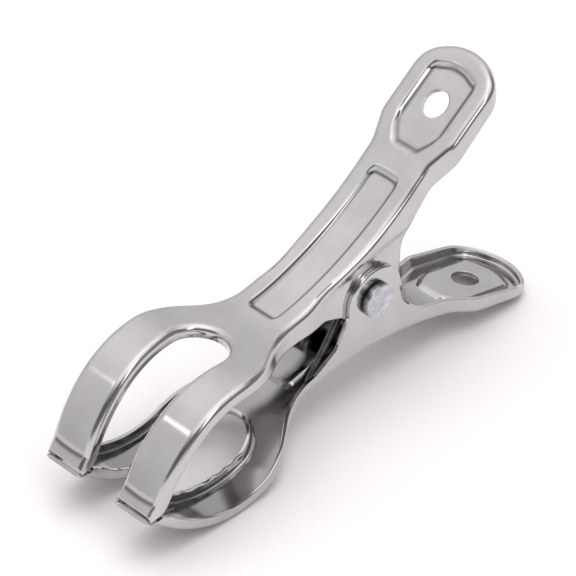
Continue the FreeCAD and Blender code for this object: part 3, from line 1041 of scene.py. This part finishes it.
    def _bore_ears(self, piece: bpy.types.Object, place: ClipFrame) -> None:
        """Cut the rivet's bore through both ears with a many-sided pin.

        Args:
            piece: the arm.
            place: where the clip's frame lies in the row.
        """
        count = self.bore_sides
        turn = np.linspace(0.0, 2 * math.pi, count + 1)[:-1]
        ring = self.sizes.ear_bore * np.stack([np.cos(turn), 0.0 * turn, np.sin(turn)], axis=1)
        reach = np.array([0.0, self.channel_half + 3.0, 0.0])
        sides = [(k, (k + 1) % count, count + (k + 1) % count, count + k) for k in range(count)]
        ends = [tuple(range(count - 1, -1, -1)), tuple(range(count, 2 * count))]
        mesh = bpy.data.meshes.new("bore_tool")
        mesh.from_pydata(place.to_row(np.concatenate([ring - reach, ring + reach])), [],
                         sides + ends)
        tool = bpy.data.objects.new("bore_tool", mesh)
        bpy.context.scene.collection.objects.link(tool)
        cut = piece.modifiers.new("bore", "BOOLEAN")
        cut.operation = "DIFFERENCE"
        cut.solver = "EXACT"
        cut.object = tool
        whole = piece.data
        shown = piece.evaluated_get(bpy.context.evaluated_depsgraph_get())
        piece.data = bpy.data.meshes.new_from_object(shown)
        piece.data.name = piece.name
        piece.modifiers.clear()
        bpy.data.objects.remove(tool)
        bpy.data.meshes.remove(mesh)
        bpy.data.meshes.remove(whole)


UPPER_SIZES = ArmSizes(
    Side.UPPER, lip_extra=0.0, ear_radius=8.4, ear_bore=2.25,
    jaw_drops=((-46.0, 1.0), (-31.5, 4.6), (-24.0, 5.4), (-14.0, 7.2)),
    handle_drops=((10.3, 10.5), (14.5, 6.7), (20.0, 5.7), (40.0, 4.6), (50.0, 1.0)),
    pinched=True, wrinkle=0.0)
LOWER_SIZES = ArmSizes(
    Side.LOWER, lip_extra=0.7, ear_radius=7.9, ear_bore=2.2,
    jaw_drops=((-26.0, 1.0), (-17.0, 3.9), (-12.6, 6.0)),
    handle_drops=((7.9, 9.2), (12.0, 5.3), (24.0, 4.8), (40.0, 3.5), (50.0, 1.0)),
    pinched=False, wrinkle=0.10)


# -- rivet and spring


@dataclass(frozen=True)
class PivotRivet:
    """The rivet: a shank through all four ears and an upright head outside each outer ear."""

    shank: float = 2.2
    channel_half: float = 8.5
    head: float = 4.1
    height: float = 1.8
    edge: float = 0.35
    dish: float = 0.12
    sides: int = 96

    def profile(self) -> np.ndarray:
        """Half the lathe profile from the mid-plane to the face's centre, as (y, radius) points.

        Returns:
            Points with straight runs cut fine enough for smooth shading beside the corners.
        """
        flat, top = self.channel_half, self.channel_half + self.height
        turn = np.linspace(0.0, math.pi / 2, 9)
        rim = np.stack([top - self.edge + self.edge * np.sin(turn),
                        self.head - self.edge + self.edge * np.cos(turn)], axis=1)
        share = np.linspace(1.0, 0.0, 16)[1:]
        dished = self.dish * (1.0 - share ** 2) * ease((1.0 - share) * 2.0)
        face = np.stack([top - dished, rim[-1, 1] * share], axis=1)
        corner = np.array([[0.0, self.shank], [flat - 0.1, self.shank], [flat, self.shank],
                           [flat, self.shank + 0.1], [flat, self.head - 0.1],
                           [flat + 0.05, self.head], [flat + 0.25, self.head]])
        return np.concatenate([corner, rim, face])

    def build(self, name: str, place: ClipFrame, material: bpy.types.Material) -> bpy.types.Object:
        """Turn the profile round Y and mirror it.

        A point at share u round the rivet and profile point (y, r) lies at
        (r cos 2 pi u, y, r sin 2 pi u). The shank and the heads' sides get a dark painted shade;
        only the faces and their rounded rims keep the bright colour.

        Args:
            name: the piece's name.
            place: where the clip's frame lies in the row.
            material: the finish.

        Returns:
            The finished rivet.
        """
        half = self.profile()
        profile = np.concatenate([half[::-1] * np.array([-1.0, 1.0]), half[1:]])
        turn = np.linspace(0.0, 2 * math.pi, self.sides + 1)[:, None]
        y, radius = profile[None, :, 0] + 0.0 * turn, profile[None, :, 1]
        points = np.stack([radius * np.cos(turn), y, radius * np.sin(turn)], axis=-1)
        # Painted shade: everything but the faces and their rounded rims takes the rivet's dark inside
        # colour.
        side = np.abs(y) < self.channel_half + self.height - self.edge
        return make_object(name, place.to_row(points.reshape(-1, 3)), quads(numbered(points)),
                           material, side.ravel() * 1.0)


@dataclass(frozen=True)
class TorsionSpring:
    """The spring: a coil round the rivet whose wire runs on as a leg at each end."""

    wire: float = 0.8
    coil: float = 3.6
    pitch: float = 1.7
    leg_reach: float = 15.0
    leg_gap: float = 0.1
    side_gap: float = 0.5
    end_round: float = 0.6
    sides: int = 20
    turn_steps: int = 64
    leg_steps: int = 40

    def path(self, arm: PressedArm) -> np.ndarray:
        """The middle of the wire.

        One turn of the coil climbs by the pitch. Each leg leaves the coil at a tangent and
        carries on its climb, for as long as the tangent from the coil to the inside of an arm.
        Known fault: the coil starts at angle - touch where the lower arm's tangent is at
        angle + touch, so neither leg lies along its own handle and both cut the lower arm.

        Args:
            arm: an arm, for the length of the legs.

        Returns:
            Points from the end of the leg at low y, round the coil, to the other leg's end.
        """
        height, heading = arm.height(self.leg_reach)
        depth = arm.sheet + arm.channel.depth + self.leg_gap + self.wire
        end_x = self.leg_reach + depth * math.sin(heading)
        end_z = height - depth * math.cos(heading)
        reach = math.hypot(end_x, end_z)
        leg = math.sqrt(reach ** 2 - self.coil ** 2)
        touch = math.atan2(end_z, end_x) + math.acos(self.coil / reach)
        part = 1.0 - touch / math.pi
        climb = self.pitch / (2 * math.pi * self.coil)
        room = 2 * (arm.channel_half - arm.sheet - self.side_gap - self.wire - leg * climb)
        turns = math.floor(room / self.pitch - part) + part
        angle = np.linspace(0.0, 2 * math.pi * turns, int(turns * self.turn_steps))
        coil = np.stack([self.coil * np.cos(angle - touch), self.coil * angle * climb,
                         -self.coil * np.sin(angle - touch)], axis=1)
        ends = [coil[1] - coil[0], coil[-1] - coil[-2]]
        share = np.linspace(0.0, 1.0, self.leg_steps)[1:, None]
        out = share * leg * math.hypot(1.0, climb)
        first = coil[0] - out[::-1] * ends[0] / np.linalg.norm(ends[0])
        last = coil[-1] + out * ends[1] / np.linalg.norm(ends[1])
        path = np.concatenate([first, coil, last])
        path[:, 1] -= turns * self.pitch / 2
        return path

    def build(self, name: str, place: ClipFrame, arm: PressedArm,
              material: bpy.types.Material) -> bpy.types.Object:
        """Sweep a round wire along the path, with rounded ends.

        The ring at a path point lies in the plane of the radial direction from the hinge axis
        and its cross product with the path's direction. At the ends the ring closes as
        sqrt(1 - e^2) over the last part of the wire.

        Args:
            name: the piece's name.
            place: where the clip's frame lies in the row.
            arm: an arm, for the length of the legs.
            material: the finish.

        Returns:
            The finished spring.
        """
        path = self.path(arm)
        along = np.gradient(path, axis=0)
        along /= np.linalg.norm(along, axis=1, keepdims=True)
        across = np.cross(along, np.array([0.0, 1.0, 0.0]))
        across /= np.linalg.norm(across, axis=1, keepdims=True)
        other = np.cross(along, across)
        far = np.concatenate([[0.0], np.cumsum(np.linalg.norm(np.diff(path, axis=0), axis=1))])
        to_end = np.minimum(far, far[-1] - far) / (self.wire * self.end_round)
        radius = self.wire * np.sqrt(1.0 - (1.0 - np.clip(to_end, 0.0, 1.0)) ** 2)
        turn = np.linspace(0.0, 2 * math.pi, self.sides + 1)[None, :, None]
        ring = np.cos(turn) * across[:, None] + np.sin(turn) * other[:, None]
        points = path[:, None] + radius[:, None, None] * ring
        return make_object(name, place.to_row(points.reshape(-1, 3)), quads(numbered(points)),
                           material)


# -- studio


def facing(azimuth: float, elevation: float) -> Vector:
    """The direction towards a viewer: azimuth 0 looks along +Y."""
    a, e = math.radians(azimuth), math.radians(elevation)
    return Vector((math.sin(a) * math.cos(e), -math.cos(a) * math.cos(e), math.sin(e)))


@dataclass(frozen=True)
class SoftLight:
    """A square or long soft light that looks at the clip, with sizes in metres and watts."""

    name: str
    azimuth: float
    elevation: float
    width: float
    height: float
    power: float
    matt_only: bool
    distance: float = 1.2

    def place(self, aim: Vector) -> None:
        """Add the light.

        Args:
            aim: the point it looks at.
        """
        data = bpy.data.lights.new(self.name, "AREA")
        data.shape = "RECTANGLE"
        data.size = self.width
        data.size_y = self.height
        data.energy = self.power
        lamp = bpy.data.objects.new(self.name, data)
        away = facing(self.azimuth, self.elevation)
        lamp.location = aim + away * self.distance
        lamp.rotation_euler = away.to_track_quat("Z", "Y").to_euler()
        lamp.visible_glossy = not self.matt_only
        bpy.context.scene.collection.objects.link(lamp)


@dataclass(frozen=True)
class Studio:
    """The pale floor, the soft lights and the camera.

    The levels are (elevation in degrees, brightness) pairs of the dome to the left and right of
    the camera and behind the clip.
    """

    azimuth: float = -43.761
    elevation: float = 38.971
    roll: float = -1.069
    distance: float = 0.8684
    aim: tuple[float, float, float] = (0.001782, 0.008260, 0.024583)
    lens: float = 250.93
    sensor: float = 36.0
    floor_half: float = 3.0
    left_levels: Pairs = ((0.0, 1.12), (13.0, 1.05), (20.0, 0.20), (38.0, 0.16), (48.0, 0.44),
                          (57.0, 1.20), (90.0, 1.75))
    right_levels: Pairs = ((0.0, 0.22), (10.0, 0.28), (20.0, 0.36), (30.0, 0.14), (38.0, 0.62),
                           (48.0, 1.40), (90.0, 1.90))
    back_levels: Pairs = ((0.0, 0.70), (20.0, 0.78), (35.0, 0.86), (48.0, 1.00), (60.0, 1.16),
                          (75.0, 1.34), (90.0, 1.60))
    lights: tuple[SoftLight, ...] = (
        SoftLight("floor_fill", 0.0, 90.0, width=1.2, height=1.2, power=7.4, matt_only=True),
        SoftLight("front_strip", -10.0, 42.0, width=0.26, height=0.72, power=1.3,
                  matt_only=False),
        SoftLight("back_tube", -134.4, 41.5, width=0.10, height=0.07, power=0.036,
                  matt_only=False))

    def build(self) -> None:
        """Add the world, floor, lights and camera."""
        bpy.context.scene.view_settings.view_transform = "Standard"
        self._dome()
        self._floor()
        for light in self.lights:
            light.place(Vector(self.aim))
        self._camera()

    def _dome(self) -> None:
        """A dome of soft light: white overhead, grey behind the clip, a dark band in front."""
        world = bpy.data.worlds.new("pale_studio")
        world.use_nodes = True
        tree = world.node_tree
        tree.nodes.clear()
        toward = add_node(tree, "ShaderNodeTexCoord").outputs["Generated"]
        rise = add_node(tree, "ShaderNodeSeparateXYZ", None, {"Vector": toward}).outputs["Z"]
        back, left, right = (self._levels(tree, rise, levels) for levels in (
            self.back_levels, self.left_levels, self.right_levels))
        front = self._blend(tree, toward, 32.0, (0.45, 0.75), left, right)
        dome = self._blend(tree, toward, -10.0, (-0.35, 0.05), back, front)
        shine = add_node(tree, "ShaderNodeBackground", {"Color": linear("#FFFEFD")},
                         {"Strength": dome})
        add_node(tree, "ShaderNodeOutputWorld", None, {"Surface": shine.outputs["Background"]})
        bpy.context.scene.world = world

    def _blend(self, tree: bpy.types.NodeTree, toward: bpy.types.NodeSocket, azimuth: float,
               reach: tuple[float, float], away: bpy.types.NodeSocket,
               near: bpy.types.NodeSocket) -> bpy.types.NodeSocket:
        """Ease from one brightness to another by the cosine to a direction on the horizon.

        Args:
            tree: the world's nodes.
            toward: the direction looked in.
            azimuth: the side that the near brightness faces.
            reach: the cosines where the ease starts and ends.
            away: the brightness far from that side.
            near: the brightness on it.

        Returns:
            The blended brightness.
        """
        cosine = add_node(tree, "ShaderNodeVectorMath", {
            "operation": "DOT_PRODUCT", "1": tuple(facing(azimuth, 0.0))}, {"0": toward})
        share = add_node(tree, "ShaderNodeMapRange", {
            "interpolation_type": "SMOOTHSTEP", "From Min": reach[0], "From Max": reach[1]},
            {"Value": cosine.outputs["Value"]})
        mix = add_node(tree, "ShaderNodeMix", {"data_type": "FLOAT"},
                       {"Factor": share.outputs["Result"], "2": away, "3": near})
        return mix.outputs[0]

    @staticmethod
    def _levels(tree: bpy.types.NodeTree, rise: bpy.types.NodeSocket,
                levels: Pairs) -> bpy.types.NodeSocket:
        """A brightness that steps through (elevation in degrees, level) pairs with eased ramps.

        Args:
            tree: the world's nodes.
            rise: the sine of the elevation.
            levels: the pairs, lowest first.

        Returns:
            The brightness.
        """
        ramp = add_node(tree, "ShaderNodeValToRGB", None, {"Fac": rise})
        stops = ramp.color_ramp
        stops.interpolation = "EASE"
        top = max(level for _, level in levels)
        stops.elements[1].position = 1.0
        for elevation, _ in levels[1:-1]:
            stops.elements.new(math.sin(math.radians(elevation)))
        for stop, (_, level) in zip(stops.elements, levels):
            stop.color = (level / top, level / top, level / top, 1.0)
        return add_node(tree, "ShaderNodeMath", {"operation": "MULTIPLY", "1": top},
                        {"0": ramp.outputs["Color"]}).outputs["Value"]

    def _floor(self) -> None:
        """A wide flat sheet of pale paper just under the clip."""
        material = bpy.data.materials.new("matt_backdrop_paper")
        material.use_nodes = True
        shader = material.node_tree.nodes["Principled BSDF"]
        shader.inputs["Base Color"].default_value = linear("#EBE8E9")
        shader.inputs["Roughness"].default_value = 0.9
        mesh = bpy.data.meshes.new("floor")
        reach = self.floor_half
        mesh.from_pydata([(-reach, -reach, 0), (reach, -reach, 0), (reach, reach, 0),
                          (-reach, reach, 0)], [], [(0, 1, 2, 3)])
        mesh.materials.append(material)
        floor = bpy.data.objects.new("floor", mesh)
        bpy.context.scene.collection.objects.link(floor)

    def _camera(self) -> None:
        """The camera, turned about its own line of sight by the roll."""
        data = bpy.data.cameras.new("camera")
        data.lens = self.lens
        data.sensor_width = self.sensor
        data.clip_end = 20.0
        camera = bpy.data.objects.new("camera", data)
        back = facing(self.azimuth, self.elevation)
        right = Vector((0.0, 0.0, 1.0)).cross(back).normalized()
        turned = Matrix.Rotation(math.radians(self.roll), 3, back)
        axes = Matrix((turned @ right, turned @ back.cross(right), back))
        matrix = axes.transposed().to_4x4()
        matrix.translation = Vector(self.aim) + back * self.distance
        camera.matrix_world = matrix
        bpy.context.scene.collection.objects.link(camera)
        bpy.context.scene.camera = camera


# -- main


def main() -> None:
    """Build the looks round the construction model and report each piece."""
    logging.basicConfig(level=logging.INFO, format="%(name)s: %(message)s")
    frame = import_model()
    place = ClipFrame.from_record(frame)
    stainless = PRESSED_STAINLESS.make()
    upper, lower = PressedArm(UPPER_SIZES), PressedArm(LOWER_SIZES)
    for arm, node in ((upper, "upper_arm"), (lower, "lower_arm")):
        piece = arm.build(node + "_sheet", place, stainless)
        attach(piece, node)
        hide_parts(node)
        LOG.info("%s: %d faces", piece.name, len(piece.data.polygons))
    rivet = PivotRivet().build("pivot_rivet_metal", place, RIVET_STEEL.make())
    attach(rivet, "lower_arm")
    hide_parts("pivot_rivet")
    LOG.info("%s: %d faces", rivet.name, len(rivet.data.polygons))
    spring = TorsionSpring().build("torsion_spring_wire", place, upper, SPRING_WIRE.make())
    start, end = place.to_row(np.array([[0.0, -1.0, 0.0], [0.0, 1.0, 0.0]])
                              * upper.channel_half / 2)
    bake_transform(spring)
    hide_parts("torsion_spring")
    LOG.info("%s: %d faces", spring.name, len(spring.data.polygons))
    Studio().build()
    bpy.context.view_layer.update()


if __name__ == "__main__":
    main()
